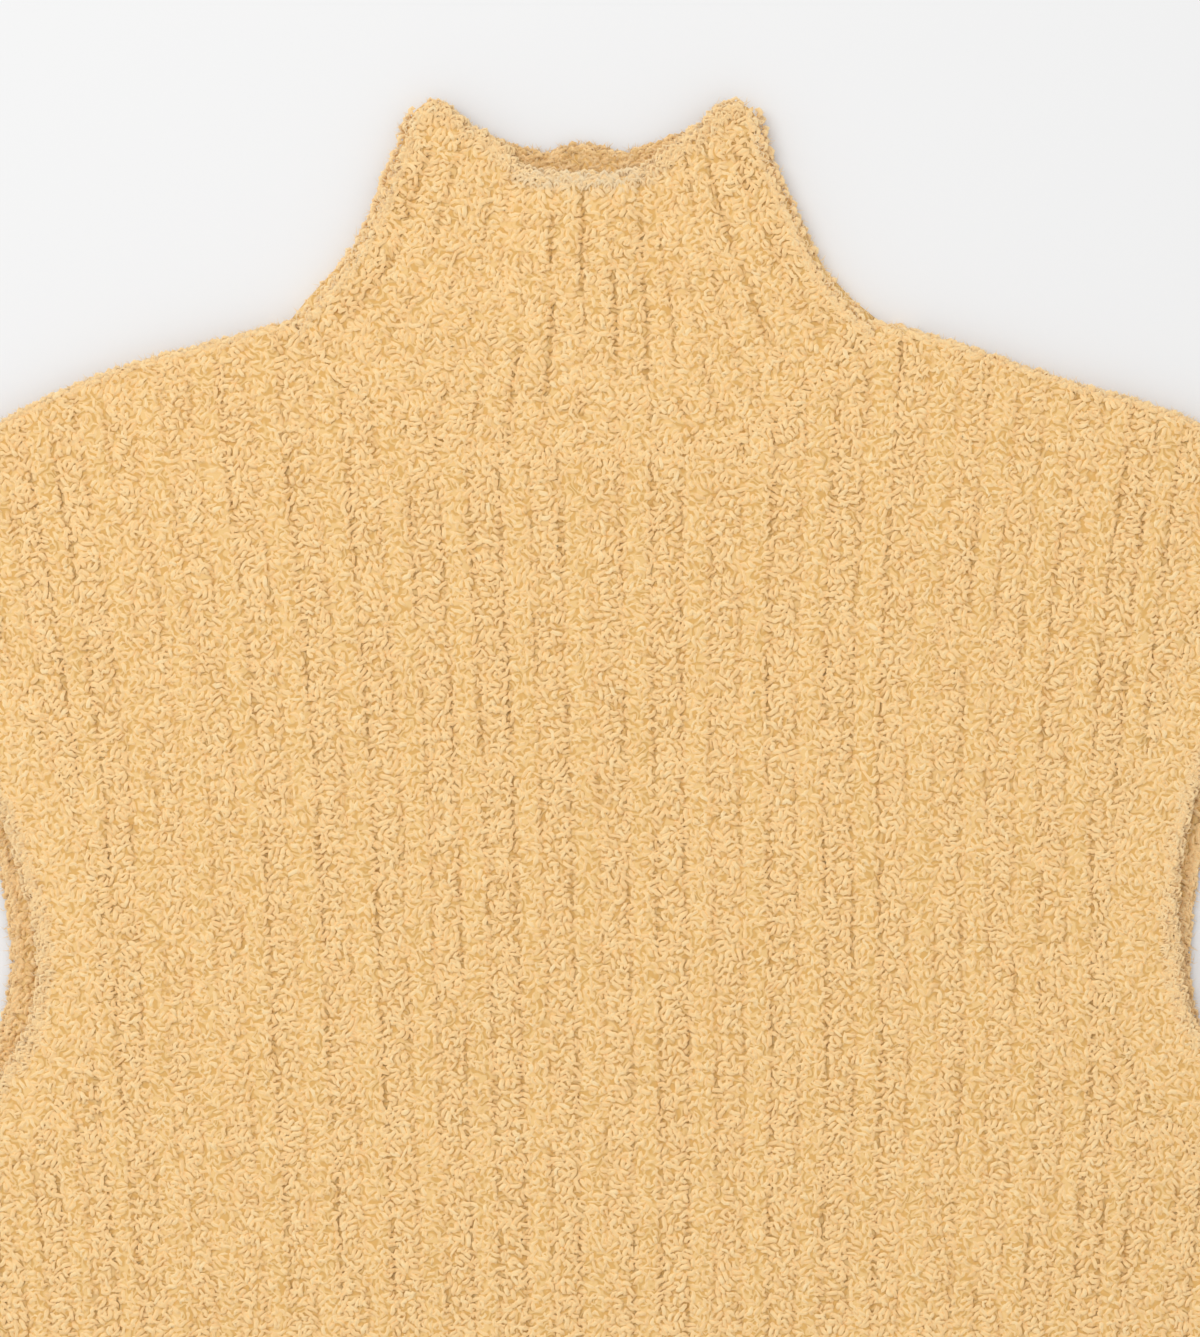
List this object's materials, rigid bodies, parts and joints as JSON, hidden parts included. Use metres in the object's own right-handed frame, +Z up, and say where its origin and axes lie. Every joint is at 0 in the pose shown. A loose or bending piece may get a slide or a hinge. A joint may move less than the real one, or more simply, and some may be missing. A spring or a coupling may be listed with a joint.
{
  "type": "sweater vest",
  "caption": "Sleeveless high-neck vest in thick looped-yarn rib knit, laid flat, with plain knitted strips round the armholes.",
  "frame": {"origin": "on the surface that the vest lies on, at the middle of its length and width", "axes": "+X across the garment to the right as seen from above, +Y from the hem to the collar, +Z up out of the front"},
  "size_m": [0.5657, 0.694, 0.0123],
  "materials": {
    "body_knit": "matt, thick rib knit of butter-yellow looped yarn, every strand curling up from the surface",
    "back_knit": "matt, the same rib knit, seen from its inside at the neck",
    "collar_knit": "matt, the same yarn in a wider rib",
    "band_knit": "matt, the same yarn knitted plain, paler and frizzy at its free edge"
  },
  "bodies": {
    "root": {"front_panel": "body_knit", "back_panel": "back_knit", "collar": "collar_knit", "armband_left": "band_knit", "armband_right": "band_knit"}
  },
  "joints": []
}
